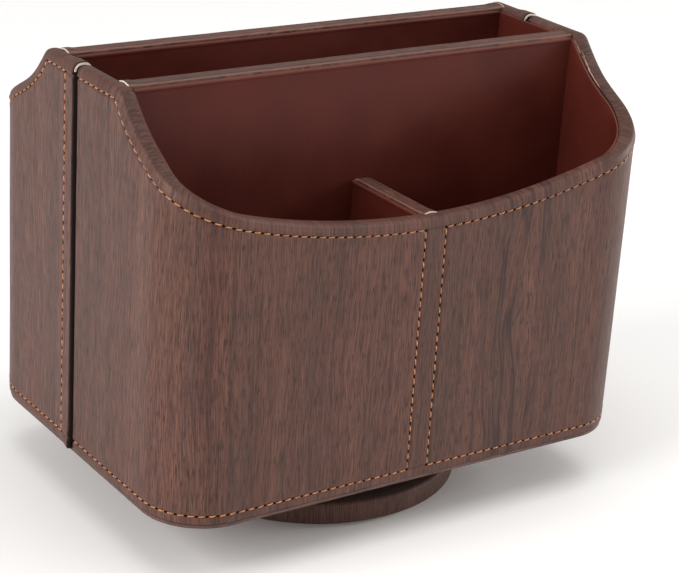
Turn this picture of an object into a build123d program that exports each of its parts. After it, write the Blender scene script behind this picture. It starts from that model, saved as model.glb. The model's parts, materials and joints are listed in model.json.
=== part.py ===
from build123d import *
import math
import os

# Rotating desk organizer: an open-topped caddy of leatherette-covered boards, turning on a
# ball-bearing ring above a covered round base.
# Millimetres. +Z up, +X to the right, +Y to the back. The origin is the centre of the base's
# underside, on the axis that the caddy turns about.

# ---- overall sizes -------------------------------------------------------------------------
WIDTH = 185.4            # over the raised hems at the two side seams
DEPTH = 134.6            # over the front and rear covers
HEIGHT = 154.9           # from the table to the highest trim
PLAN_CORNER_R = 21.3     # outside radius of the four upright corners
CADDY_LIFT = 21.9        # from the table to the caddy's underside

# ---- sheet and board thicknesses -----------------------------------------------------------
COVER_T = 0.9            # wood-grain leatherette with its backing
LINING_T = 0.8           # smooth leatherette inside
WALL_BOARD_T = 4.6
DIVIDER_BOARD_T = 4.6
PARTITION_BOARD_T = 3.6
FLOOR_BOARD_T = 4.6
BOTTOM_PANEL_T = 1.1
HEM_T = 0.5              # how far the rear cover's folded hem and the trim ends stand proud
HEM_WIDTH = 8.0
SEAM_Y = 3.0             # the front and rear covers meet here on both sides

# ---- rim line, along the developed wall from the middle of the front -----------------------
RIM_DROP = 39.8          # from the flat top of the sides to the middle of the front
FRONT_SWEEP_R = 256.0
CORNER_SWEEP_R = 177.0
SHOULDER_R = 62.0
SHOULDER_TIP_R = 4.0
SWEEP_PAST_CORNER = 4.6  # how far past the upright corner the corner sweep goes

# ---- dividers ------------------------------------------------------------------------------
DIVIDER_PAST_SHOULDER = 0.3   # outer faces stand this far outside the ends of the flat tops
TRIM_LAP = 2.6           # trim ends lap this far over the wall's rim
TRIM_ROOT = 3.0          # and reach back this far along their divider

# ---- round base ----------------------------------------------------------------------------
BASE_R = 54.0
PAD_R = 50.5
PAD_T = 1.6
BASE_T = 8.0             # disc board with its cover

# ---- bearing -------------------------------------------------------------------------------
BALL_COUNT = 16
BALL_R = 2.5
BALL_PITCH_R = 34.0
GROOVE_GAP = 0.3         # between a ball and its groove
RACE_GAP = 1.2           # from the pitch circle to each race
RACE_T = 5.8
END_GAP = 0.8            # above the lower ring and below the upper ring
CAGE_T = 1.2
CAGE_H = 7.0
CAGE_HOLE_GAP = 0.2
FLANGE_T = 2.5
FLANGE_W = 9.5
SCREW_COUNT = 4
SCREW_R = 1.5
SCREW_HEAD_R = 2.8
SCREW_HEAD_H = 1.3
SCREW_GRIP = 5.2         # length below the flange
SCREW_GAP = 0.05
SCREW_SLOT_W = 0.7
SCREW_SLOT_DEPTH = 0.6

# ---- worked out from the above -------------------------------------------------------------
HALF_W = WIDTH / 2 - HEM_T
HALF_D = DEPTH / 2
WALL_T = COVER_T + WALL_BOARD_T + LINING_T
LINING_FROM = COVER_T + WALL_BOARD_T
TOP_Z = HEIGHT - HEM_T
WALL_Z = CADDY_LIFT + BOTTOM_PANEL_T
FLOOR_Z = WALL_Z + FLOOR_BOARD_T
CORNER_S = HALF_W - PLAN_CORNER_R
CORNER_END_S = CORNER_S + PLAN_CORNER_R * math.pi / 2
INNER_X = HALF_W - WALL_T
INNER_Y = HALF_D - WALL_T
DIVIDER_T = DIVIDER_BOARD_T + 2 * LINING_T
PARTITION_T = PARTITION_BOARD_T + 2 * LINING_T
BASE_TOP_Z = PAD_T + BASE_T
CUT_MARGIN = 2.0         # how far cutting solids reach past what they cut


# ---- the rim line --------------------------------------------------------------------------
def rim_arcs():
    """Centres and radii of the rim's hollow arcs, and of the rounded tip of the shoulder."""
    sin_a = CORNER_S / FRONT_SWEEP_R
    cos_a = math.sqrt(1 - sin_a**2)
    front = (0.0, TOP_Z - RIM_DROP + FRONT_SWEEP_R, FRONT_SWEEP_R, sin_a)
    step = FRONT_SWEEP_R - CORNER_SWEEP_R
    corner_s = step * sin_a
    corner_z = front[1] - step * cos_a
    sin_b = (CORNER_END_S + SWEEP_PAST_CORNER - corner_s) / CORNER_SWEEP_R
    cos_b = math.sqrt(1 - sin_b**2)
    corner = (corner_s, corner_z, CORNER_SWEEP_R, sin_b)
    step = CORNER_SWEEP_R - SHOULDER_R
    shoulder_s = corner_s + step * sin_b
    shoulder_z = corner_z - step * cos_b
    tip_z = TOP_Z - SHOULDER_TIP_R
    reach = SHOULDER_R + SHOULDER_TIP_R
    tip_s = shoulder_s + math.sqrt(reach**2 - (shoulder_z - tip_z) ** 2)
    sin_c = (tip_s - shoulder_s) / reach
    shoulder = (shoulder_s, shoulder_z, SHOULDER_R, sin_c)
    return [front, corner, shoulder], (tip_s, tip_z)


RIM_ARCS, RIM_TIP = rim_arcs()
SHOULDER_Y = (HALF_D - PLAN_CORNER_R) - (RIM_TIP[0] - CORNER_END_S)
DIVIDER_FACE_Y = SHOULDER_Y + DIVIDER_PAST_SHOULDER


def rim_breaks(below):
    """Where one arc of the rim line gives way to the next, for a line this far inside it."""
    ends = [centre_s + (radius + below) * sine for centre_s, _, radius, sine in RIM_ARCS]
    return ends + [RIM_TIP[0]]


def rim_height(s, below=0.0):
    """Height of the rim at developed length s, or of the line a distance below and inside it."""
    for (centre_s, centre_z, radius, _), end in zip(RIM_ARCS, rim_breaks(below)):
        if s <= end:
            return centre_z - math.sqrt((radius + below) ** 2 - (s - centre_s) ** 2)
    if s < RIM_TIP[0]:
        return RIM_TIP[1] + math.sqrt((SHOULDER_TIP_R - below) ** 2 - (s - RIM_TIP[0]) ** 2)
    return TOP_Z - below


def plan_point(s, inset):
    """Plan position at developed length s along the front right quarter, moved inwards."""
    if s <= CORNER_S:
        return s, -HALF_D + inset
    if s <= CORNER_END_S:
        turn = (s - CORNER_S) / PLAN_CORNER_R
        radius = PLAN_CORNER_R - inset
        x = CORNER_S + radius * math.sin(turn)
        y = -(HALF_D - PLAN_CORNER_R) - radius * math.cos(turn)
        return x, y
    return HALF_W - inset, -(HALF_D - PLAN_CORNER_R) + s - CORNER_END_S


def rim_edges(s_from, s_to, below, place):
    """Arcs of the rim line between two developed lengths, as edges in the plane of place."""
    stops = [s_from] + [s for s in rim_breaks(below) if s_from < s < s_to] + [s_to]
    edges = []
    for start, end in zip(stops, stops[1:]):
        ends = [place(s, rim_height(s, below)) for s in (start, (start + end) / 2, end)]
        if start >= RIM_TIP[0]:
            edges.append(Line(ends[0], ends[2]))
        else:
            edges.append(ThreePointArc(*ends))
    return edges


def prism_above(edges, start, end, top, sweep):
    """Solid between a run of edges and a level top, carried along the vector sweep."""
    level_start = Vector(start.X, start.Y, top)
    level_end = Vector(end.X, end.Y, top)
    closing = [Line(end, level_end), Line(level_end, level_start), Line(level_start, start)]
    return Solid.extrude(Face(Wire(edges + closing)), sweep)


def rim_cutter(below):
    """Everything above the rim line of the front half, for a line this far inside it."""
    top = HEIGHT + CUT_MARGIN
    outer = -CUT_MARGIN
    inner = WALL_T + CUT_MARGIN
    across = inner - outer

    def front_place(s, z):
        return Vector(s, -HALF_D + outer, z)

    def side_place(s, z):
        x, y = plan_point(s, outer)
        return Vector(x, y, z)

    right_edges = rim_edges(0, CORNER_S, below, front_place)
    mid = front_place(0, rim_height(0, below))
    corner = front_place(CORNER_S, rim_height(CORNER_S, below))
    front = prism_above(right_edges, mid, corner, top, Vector(0, across, 0))

    steps = 12
    lengths = [CORNER_S + (CORNER_END_S - CORNER_S) * i / steps for i in range(steps + 1)]
    guides = []
    for inset in (outer, inner):
        points = [(*plan_point(s, inset), rim_height(s, below)) for s in lengths]
        guides.append(Spline(*points).edge())
    ruled = Face.make_surface_from_curves(guides[0], guides[1])
    bend = Solid.extrude(ruled, Vector(0, 0, top))

    side_end = RIM_TIP[0] + CUT_MARGIN
    side_edges = rim_edges(CORNER_END_S, side_end, below, side_place)
    start = side_place(CORNER_END_S, rim_height(CORNER_END_S, below))
    end = side_place(side_end, rim_height(side_end, below))
    side = prism_above(side_edges, start, end, top, Vector(-across, 0, 0))
    right = [front, bend, side]
    return right + [piece.mirror(Plane.YZ) for piece in right]


def flat_cutter(below):
    """What stands above the flat tops of the sides."""
    length = 2 * DEPTH
    return Pos(0, 0, TOP_Z - below + length / 2) * Box(length, length, length)


# ---- shared shapes -------------------------------------------------------------------------
def plan_prism(inset, z_from, z_to):
    """The caddy's rounded plan, moved inwards, between two heights."""
    outline = RectangleRounded(
        2 * (HALF_W - inset), 2 * (HALF_D - inset), PLAN_CORNER_R - inset
    )
    return Pos(0, 0, z_from) * extrude(outline, amount=z_to - z_from)


def block(x_from, x_to, y_from, y_to, z_from, z_to):
    size = (x_to - x_from, y_to - y_from, z_to - z_from)
    middle = ((x_from + x_to) / 2, (y_from + y_to) / 2, (z_from + z_to) / 2)
    return Pos(*middle) * Box(*size)


def front_of_seam(shape):
    return shape & block(-WIDTH, WIDTH, -DEPTH, SEAM_Y, -HEIGHT, 2 * HEIGHT)


def behind_seam(shape):
    return shape & block(-WIDTH, WIDTH, SEAM_Y, DEPTH, -HEIGHT, 2 * HEIGHT)


def wall(inset_from, inset_to, z_from, below):
    """A layer of the walls, between two insets, with its top on or inside the rim line."""
    ring = plan_prism(inset_from, z_from, HEIGHT) - plan_prism(inset_to, z_from - 1, HEIGHT + 1)
    ring = ring - flat_cutter(below)
    for cutter in rim_cutter(below):
        ring = ring - cutter - cutter.mirror(Plane.XZ)
    return ring


# ---- caddy walls ---------------------------------------------------------------------------
def hem_tops():
    """The rear cover's folded hems where they cross the flat rims beside the seams."""
    tops = []
    for side in (-1, 1):
        top_x = sorted((side * INNER_X, side * (HALF_W + HEM_T)))
        tops.append(block(*top_x, SEAM_Y, SEAM_Y + HEM_WIDTH, TOP_Z, HEIGHT))
    return tops


def make_walls():
    whole = wall(0, WALL_T, WALL_Z, 0)
    core = wall(COVER_T, WALL_T + 1, WALL_Z - 1, COVER_T)
    cover = whole - core
    board = wall(COVER_T, LINING_FROM, WALL_Z, COVER_T)
    lining = wall(LINING_FROM, WALL_T, FLOOR_Z, COVER_T)
    rear_cover = behind_seam(cover)
    for side in (-1, 1):
        hem_x = sorted((side * HALF_W, side * (HALF_W + HEM_T)))
        hem = block(*hem_x, SEAM_Y, SEAM_Y + HEM_WIDTH, WALL_Z, TOP_Z)
        rear_cover = rear_cover + hem
    rear_cover = rear_cover + hem_tops()
    return {
        "front_cover": front_of_seam(cover),
        "rear_cover": rear_cover,
        "front_wall_board": front_of_seam(board),
        "rear_wall_board": behind_seam(board),
        "front_wall_lining": front_of_seam(lining),
        "rear_wall_lining": behind_seam(lining),
    }


# ---- caddy floor ---------------------------------------------------------------------------
def make_floor(screws):
    plan = plan_prism(WALL_T, FLOOR_Z, FLOOR_Z + LINING_T)
    pieces = {
        "bottom_panel": plan_prism(COVER_T / 2, CADDY_LIFT, WALL_Z) - screws,
        "floor_board": plan_prism(LINING_FROM, WALL_Z, FLOOR_Z) - screws,
    }
    divider_back = DIVIDER_FACE_Y - DIVIDER_T
    half_partition = PARTITION_T / 2
    bays = {
        "middle_floor_liner": (-WIDTH, WIDTH, -divider_back, divider_back),
        "front_left_floor_liner": (-WIDTH, -half_partition, -DEPTH, -DIVIDER_FACE_Y),
        "front_right_floor_liner": (half_partition, WIDTH, -DEPTH, -DIVIDER_FACE_Y),
        "rear_left_floor_liner": (-WIDTH, -half_partition, DIVIDER_FACE_Y, DEPTH),
        "rear_right_floor_liner": (half_partition, WIDTH, DIVIDER_FACE_Y, DEPTH),
    }
    for name, bay in bays.items():
        pieces[name] = plan & block(*bay, 0, HEIGHT)
    return pieces


# ---- dividers ------------------------------------------------------------------------------
def make_dividers():
    """The two long dividers, each a board, a lining on each face and a trim over the top."""
    pieces = {}
    trim_z = TOP_Z - COVER_T
    for name, side in (("front", -1), ("rear", 1)):
        outer_y = DIVIDER_FACE_Y
        inner_y = DIVIDER_FACE_Y - DIVIDER_T

        def slab(near, far, *rest):
            y_from, y_to = sorted((side * near, side * far))
            return block(rest[0], rest[1], y_from, y_to, rest[2], rest[3])

        span = (-INNER_X, INNER_X, FLOOR_Z, trim_z)
        pieces[f"{name}_divider_board"] = slab(inner_y + LINING_T, outer_y - LINING_T, *span)
        pieces[f"{name}_divider_outer_lining"] = slab(outer_y - LINING_T, outer_y, *span)
        pieces[f"{name}_divider_inner_lining"] = slab(inner_y, inner_y + LINING_T, *span)
        trim = slab(inner_y, outer_y, -INNER_X, INNER_X, trim_z, TOP_Z)
        for end in (-1, 1):
            x_from, x_to = sorted((end * (INNER_X - TRIM_ROOT), end * (INNER_X + TRIM_LAP)))
            lap = slab(inner_y, outer_y, x_from, x_to, TOP_Z, HEIGHT)
            trim = trim + (lap - hem_tops())
        pieces[f"{name}_divider_trim"] = trim
    return pieces


def make_partitions():
    """The two short partitions that halve the front and rear bays."""
    pieces = {}
    half = PARTITION_T / 2
    rim_z = rim_height(0)
    trim_z = rim_z - COVER_T
    for name, side in (("front", -1), ("rear", 1)):

        def slab(x_from, x_to, near, far, z_from, z_to):
            y_from, y_to = sorted((side * near, side * far))
            return block(x_from, x_to, y_from, y_to, z_from, z_to)

        run = (DIVIDER_FACE_Y, INNER_Y, FLOOR_Z, trim_z)
        pieces[f"{name}_partition_board"] = slab(-half + LINING_T, half - LINING_T, *run)
        pieces[f"{name}_partition_left_lining"] = slab(-half, -half + LINING_T, *run)
        pieces[f"{name}_partition_right_lining"] = slab(half - LINING_T, half, *run)
        trim = slab(-half, half, DIVIDER_FACE_Y, INNER_Y, trim_z, rim_z)
        lap = slab(-half, half, INNER_Y - TRIM_ROOT, INNER_Y + TRIM_LAP, rim_z - COVER_T / 2, rim_z + HEM_T)
        over_rim = wall(0, WALL_T, WALL_Z, 0)
        pieces[f"{name}_partition_trim"] = trim + (lap - over_rim)
    return pieces


# ---- base ----------------------------------------------------------------------------------
def upright(radius, z_from, z_to):
    """A round solid on the turning axis."""
    return Pos(0, 0, (z_from + z_to) / 2) * Cylinder(radius, z_to - z_from)


def make_base(screws):
    board = upright(BASE_R - COVER_T, PAD_T, BASE_TOP_Z - COVER_T)
    return {
        "base_foot_pad": upright(PAD_R, 0, PAD_T),
        "base_disc_board": board - screws,
        "base_disc_cover": upright(BASE_R, PAD_T, BASE_TOP_Z) - board - screws,
    }


# ---- bearing -------------------------------------------------------------------------------
def screw_places(radius):
    places = []
    for i in range(SCREW_COUNT):
        angle = math.radians(45 + 360 / SCREW_COUNT * i)
        places.append((radius * math.cos(angle), radius * math.sin(angle)))
    return places


def screw(x, y, face_z, points_up, gap):
    """A flat-headed screw whose head is flush with face_z, or the hole for one."""
    direction = 1 if points_up else -1
    length = FLANGE_T + SCREW_GRIP
    head = Cone(SCREW_HEAD_R + gap, SCREW_R + gap, SCREW_HEAD_H)
    shank_length = length - SCREW_HEAD_H + gap
    shank = Cylinder(SCREW_R + gap, shank_length)
    body = Pos(0, 0, SCREW_HEAD_H / 2) * head + Pos(0, 0, SCREW_HEAD_H + shank_length / 2) * shank
    if gap == 0:
        for turn in (0, 90):
            slot = Box(2 * SCREW_HEAD_R * 0.6, SCREW_SLOT_W, 2 * SCREW_SLOT_DEPTH)
            body = body - Rot(0, 0, turn) * slot
    if direction < 0:
        body = Rot(180, 0, 0) * body
    return Pos(x, y, face_z) * body


def screw_group(radius, face_z, points_up, gap):
    shapes = [screw(x, y, face_z, points_up, gap) for x, y in screw_places(radius)]
    return Compound(children=[Solid(s.solid().wrapped) for s in shapes])


def groove():
    """The round groove that the balls run in."""
    middle_z = (BASE_TOP_Z + CADDY_LIFT) / 2
    return Pos(0, 0, middle_z) * Torus(BALL_PITCH_R, BALL_R + GROOVE_GAP)


def make_bearing():
    lower_face = BASE_TOP_Z + FLANGE_T
    upper_face = CADDY_LIFT - FLANGE_T
    inner_race_r = BALL_PITCH_R - RACE_GAP
    outer_race_r = BALL_PITCH_R + RACE_GAP
    lower_hole_r = inner_race_r - RACE_T - FLANGE_W
    upper_rim_r = outer_race_r + RACE_T + FLANGE_W
    lower_screw_r = lower_hole_r + FLANGE_W / 2
    upper_screw_r = upper_rim_r - FLANGE_W / 2
    middle_z = (BASE_TOP_Z + CADDY_LIFT) / 2

    lower = upright(inner_race_r, BASE_TOP_Z, CADDY_LIFT - END_GAP)
    lower = lower - upright(inner_race_r - RACE_T, lower_face, HEIGHT)
    lower = lower - upright(lower_hole_r, 0, HEIGHT) - groove()
    upper = upright(upper_rim_r, upper_face, CADDY_LIFT)
    upper = upper + upright(outer_race_r + RACE_T, BASE_TOP_Z + END_GAP, CADDY_LIFT)
    upper = upper - upright(outer_race_r, 0, HEIGHT) - groove()
    lower_holes = screw_group(lower_screw_r, lower_face, False, SCREW_GAP)
    upper_holes = screw_group(upper_screw_r, upper_face, True, SCREW_GAP)

    balls = []
    cage = upright(BALL_PITCH_R + CAGE_T / 2, middle_z - CAGE_H / 2, middle_z + CAGE_H / 2)
    cage = cage - upright(BALL_PITCH_R - CAGE_T / 2, 0, HEIGHT)
    for i in range(BALL_COUNT):
        place = Rot(0, 0, 360 / BALL_COUNT * i) * Pos(BALL_PITCH_R, 0, middle_z)
        balls.append(Solid((place * Sphere(BALL_R)).solid().wrapped))
        cage = cage - place * Rot(0, 90, 0) * Cylinder(BALL_R + CAGE_HOLE_GAP, 4 * CAGE_T)
    pieces = {
        "bearing_lower_ring": lower - lower_holes,
        "bearing_upper_ring": upper - upper_holes,
        "bearing_balls": Compound(children=balls),
        "bearing_ball_cage": cage,
        "lower_ring_screws": screw_group(lower_screw_r, lower_face, False, 0),
        "upper_ring_screws": screw_group(upper_screw_r, upper_face, True, 0),
    }
    return pieces, lower_holes, upper_holes


# ---- all of it -----------------------------------------------------------------------------
def make_all():
    pieces, lower_holes, upper_holes = make_bearing()
    pieces.update(make_base(lower_holes))
    pieces.update(make_floor(upper_holes))
    pieces.update(make_walls())
    pieces.update(make_dividers())
    pieces.update(make_partitions())
    return pieces


os.makedirs("parts", exist_ok=True)
for node, shape in make_all().items():
    export_step(shape, f"parts/{node}.step")
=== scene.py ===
import bpy
import bmesh
import json
import math
import random
from mathutils import Matrix, Vector, noise


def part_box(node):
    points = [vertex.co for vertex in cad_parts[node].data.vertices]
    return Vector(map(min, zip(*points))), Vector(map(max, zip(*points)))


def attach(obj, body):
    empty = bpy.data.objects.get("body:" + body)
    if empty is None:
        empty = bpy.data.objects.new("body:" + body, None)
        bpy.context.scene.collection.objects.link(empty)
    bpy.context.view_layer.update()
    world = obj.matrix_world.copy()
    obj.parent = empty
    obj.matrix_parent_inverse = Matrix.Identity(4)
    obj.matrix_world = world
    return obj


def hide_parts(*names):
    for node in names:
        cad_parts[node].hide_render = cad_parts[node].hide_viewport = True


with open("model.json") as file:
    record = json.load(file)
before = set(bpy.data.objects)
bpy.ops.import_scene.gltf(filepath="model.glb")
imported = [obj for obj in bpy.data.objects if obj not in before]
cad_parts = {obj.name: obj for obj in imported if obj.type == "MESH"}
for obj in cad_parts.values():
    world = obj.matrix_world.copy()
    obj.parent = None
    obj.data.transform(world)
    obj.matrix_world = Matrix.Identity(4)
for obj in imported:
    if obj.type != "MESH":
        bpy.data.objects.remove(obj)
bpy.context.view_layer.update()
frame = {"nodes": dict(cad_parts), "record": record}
random.seed(7)

MM = 0.001
CADDY = "caddy"
BASE = "base"

# ---- sizes taken from the frame ------------------------------------------------------------
FRONT_LO, FRONT_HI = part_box("front_cover")
REAR_TOP_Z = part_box("rear_cover")[1].z
HALF_W = FRONT_HI.x
HALF_D = -FRONT_LO.y
BOTTOM_Z = FRONT_LO.z
TOP_Z = FRONT_HI.z
SEAM_Y = FRONT_HI.y
HEM_T = REAR_TOP_Z - FRONT_HI.z
FLOOR_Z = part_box("floor_board")[1].z
INNER_Y = -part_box("front_partition_board")[0].y
WALL_T = HALF_D - INNER_Y
LINING_LO, LINING_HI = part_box("front_divider_outer_lining")
LINING_T = LINING_HI.y - LINING_LO.y
LINING_FROM = WALL_T - LINING_T
RIM_FRONT_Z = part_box("front_partition_trim")[1].z - HEM_T


def corner_radius():
    """Outside radius of the upright corners, from where the panel's straight sides end."""
    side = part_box("bottom_panel")[1].x
    points = [v.co for v in frame["nodes"]["bottom_panel"].data.vertices]
    return HALF_D - max(abs(p.y) for p in points if p.x > side - 0.01 * MM)


CORNER_R = corner_radius()
CORNER_S = HALF_W - CORNER_R
CORNER_END_S = CORNER_S + CORNER_R * math.pi / 2

# ---- the rim line: three hollow arcs and a rounded tip, along the developed wall -------------
FRONT_SWEEP_R = 256 * MM
CORNER_SWEEP_R = 177 * MM
SHOULDER_R = 62 * MM
TIP_R = 4 * MM
SWEEP_PAST_CORNER = 4.6 * MM  # how far the corner's arc runs past the upright corner


def rim_arcs():
    """Centre, radius and end sine of the front, corner and shoulder arcs, and the tip's centre."""
    sin_a = CORNER_S / FRONT_SWEEP_R
    front_z = RIM_FRONT_Z + FRONT_SWEEP_R
    corner_s = (FRONT_SWEEP_R - CORNER_SWEEP_R) * sin_a
    corner_z = front_z - (FRONT_SWEEP_R - CORNER_SWEEP_R) * math.sqrt(1 - sin_a**2)
    sin_b = (CORNER_END_S + SWEEP_PAST_CORNER - corner_s) / CORNER_SWEEP_R
    shoulder_s = corner_s + (CORNER_SWEEP_R - SHOULDER_R) * sin_b
    shoulder_z = corner_z - (CORNER_SWEEP_R - SHOULDER_R) * math.sqrt(1 - sin_b**2)
    reach = SHOULDER_R + TIP_R
    tip_z = TOP_Z - TIP_R
    tip_s = shoulder_s + math.sqrt(reach**2 - (shoulder_z - tip_z) ** 2)
    sin_c = (tip_s - shoulder_s) / reach
    arcs = [(0, front_z, FRONT_SWEEP_R, sin_a), (corner_s, corner_z, CORNER_SWEEP_R, sin_b),
            (shoulder_s, shoulder_z, SHOULDER_R, sin_c)]
    return arcs, (tip_s, tip_z)


RIM_ARCS, RIM_TIP = rim_arcs()
TIP_START_S = RIM_ARCS[2][0] + SHOULDER_R * RIM_ARCS[2][3]


def rim_point(a):
    """Height of the rim at developed length a, and the sine and cosine of its slope there."""
    for centre_s, centre_z, radius, sine in RIM_ARCS:
        if a <= centre_s + radius * sine:
            lean = (a - centre_s) / radius
            return centre_z - radius * math.sqrt(1 - lean**2), lean, math.sqrt(1 - lean**2)
    if a < RIM_TIP[0]:
        lean = (RIM_TIP[0] - a) / TIP_R
        return RIM_TIP[1] + TIP_R * math.sqrt(1 - lean**2), lean, math.sqrt(1 - lean**2)
    return TOP_Z, 0.0, 1.0


def off_rim(a, k):
    """Developed length and height of the point that lies k above the rim, square to it."""
    z, sine, cosine = rim_point(a)
    return a - k * sine, z + k * cosine


def wall_point(s, inset, z, face):
    """A point of the walls: s runs round from the middle of the front (face -1) or rear (1)."""
    a = abs(s)
    straight_y = HALF_D - CORNER_R
    if a <= CORNER_S:
        x, y = a, HALF_D - inset
    elif a <= CORNER_END_S:
        turn = (a - CORNER_S) / CORNER_R
        x = CORNER_S + (CORNER_R - inset) * math.sin(turn)
        y = straight_y + (CORNER_R - inset) * math.cos(turn)
    else:
        x, y = HALF_W - inset, straight_y - (a - CORNER_END_S)
    return Vector((math.copysign(x, s), face * y, z))


# ---- mesh helpers --------------------------------------------------------------------------
def mesh_from(bm, name):
    """Turn a bmesh into a mesh."""
    mesh = bpy.data.meshes.new(name)
    bm.to_mesh(mesh)
    bm.free()
    return mesh


def new_object(name, data):
    """An object in the scene, made of a mesh, a lamp or a camera."""
    made = bpy.data.objects.new(name, data)
    bpy.context.scene.collection.objects.link(made)
    return made


def finish_mesh(bm, name, material, body, replaced=()):
    """Turn a bmesh into a smooth piece that rides on a body and takes the place of CAD nodes."""
    mesh = mesh_from(bm, name)
    for polygon in mesh.polygons:
        polygon.use_smooth = True
    piece = new_object(name, mesh)
    piece.data.materials.append(material)
    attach(piece, body)
    if replaced:
        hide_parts(*replaced)
    return piece


def shaped_grid(columns, rows, place, outward):
    """A grid whose vertices are moved to place(column, row): a point, two UVs and the marks."""
    bm = bmesh.new()
    bmesh.ops.create_grid(bm, x_segments=len(columns) - 1, y_segments=len(rows) - 1, size=1)
    sheet = bm.loops.layers.uv.new("sheet")
    rim = bm.loops.layers.uv.new("rim")
    marks = [bm.verts.layers.float.new(label) for label in ("roll", "frayed", "shade")]
    spots = {}
    for v in bm.verts:
        i = round((v.co.x + 1) / 2 * (len(columns) - 1))
        j = round((v.co.y + 1) / 2 * (len(rows) - 1))
        point, flat, along, values = place(columns[i], rows[j])
        v.co = point
        for mark, value in zip(marks, values):
            v[mark] = value
        spots[v] = (flat, along)
    for f in bm.faces:
        for loop in f.loops:
            loop[sheet].uv, loop[rim].uv = spots[loop.vert]
    bm.normal_update()
    middle = max(bm.faces, key=lambda f: f.calc_area())
    if middle.normal.dot(outward(middle.calc_center_median())) < 0:
        bmesh.ops.reverse_faces(bm, faces=bm.faces)
    return bm


def thicken(piece, thickness):
    """Give an open sheet its thickness, inwards from its outer face."""
    solid = piece.modifiers.new("thickness", "SOLIDIFY")
    solid.thickness = thickness
    solid.offset = -1
    return piece


def steps_between(start, end, count):
    """Evenly spaced values from start to end, both included."""
    return [start + (end - start) * i / count for i in range(count + 1)]


def smooth(value, low, high):
    """0 at low and 1 at high, easing in and out between them."""
    t = min(1.0, max(0.0, (value - low) / (high - low)))
    return t * t * (3 - 2 * t)


def away_from_axis(point):
    """Level direction from the upright axis to a point."""
    return Vector((point.x, point.y, 0))


# ---- node helpers --------------------------------------------------------------------------
def srgb(red, green, blue):
    """Linear colour of an 8-bit display colour."""
    parts = [c / 255 for c in (red, green, blue)]
    return tuple(c / 12.92 if c <= 0.04045 else ((c + 0.055) / 1.055) ** 2.4 for c in parts) + (1.0,)


def add(tree, kind, values=None, **settings):
    """A node with its settings, its values set and its linked sockets joined."""
    made = tree.nodes.new(kind)
    for name, value in settings.items():
        setattr(made, name, value)
    for key, value in (values or {}).items():
        if isinstance(value, bpy.types.NodeSocket):
            tree.links.new(value, made.inputs[key])
        else:
            made.inputs[key].default_value = value
    return made


def calc(tree, operation, *values, clamp=False):
    """One step of arithmetic."""
    made = add(tree, "ShaderNodeMath", dict(enumerate(values)), operation=operation, use_clamp=clamp)
    return made.outputs[0]


def blend_colours(tree, factor, first, second):
    """The first colour at factor 0 and the second at 1."""
    return add(tree, "ShaderNodeMix", {0: factor, 6: first, 7: second}, data_type="RGBA").outputs[2]


def overlay(tree, colour, over, mask, strength):
    """Colour with another laid over it where the mask is, at a strength from 0 to 1."""
    return blend_colours(tree, calc(tree, "MULTIPLY", mask, strength), colour, over)


def noise_at(tree, vector, scale, detail=2.0, roughness=0.5):
    """Noise on a vector stretched by scale, in cycles per metre along each axis."""
    stretched = add(tree, "ShaderNodeMapping", {"Vector": vector, "Scale": scale})
    made = add(tree, "ShaderNodeTexNoise",
               {"Vector": stretched.outputs[0], "Scale": 1.0, "Detail": detail, "Roughness": roughness})
    return made.outputs[0]


def ramp_between(tree, value, low, high):
    """0 below low and 1 above high, or the other way about when low is the larger."""
    made = add(tree, "ShaderNodeMapRange", {"Value": value, "From Min": low, "From Max": high})
    return made.outputs[0]


def new_group(name, inputs, outputs):
    """An empty node group, with what it is given and the sockets it fills."""
    group = bpy.data.node_groups.new(name, "ShaderNodeTree")
    for label, kind, value in inputs:
        socket = group.interface.new_socket(name=label, in_out="INPUT", socket_type=kind)
        if value is not None:
            socket.default_value = value
    for label, kind in outputs:
        group.interface.new_socket(name=label, in_out="OUTPUT", socket_type=kind)
    entry = group.nodes.new("NodeGroupInput")
    leave = group.nodes.new("NodeGroupOutput")
    return group, entry.outputs, leave.inputs


# ---- shared effects ------------------------------------------------------------------------
FIGURE_X = 0.036        # middle of the figured strip of the print, right of the front's middle
FIGURE_HALF = 0.017
SWAY = 0.012            # how far the grain wanders sideways
SWELL = 0.0012          # and how far it bulges, on plain and on figured stretches
FIGURE_SWELL = 0.009


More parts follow.
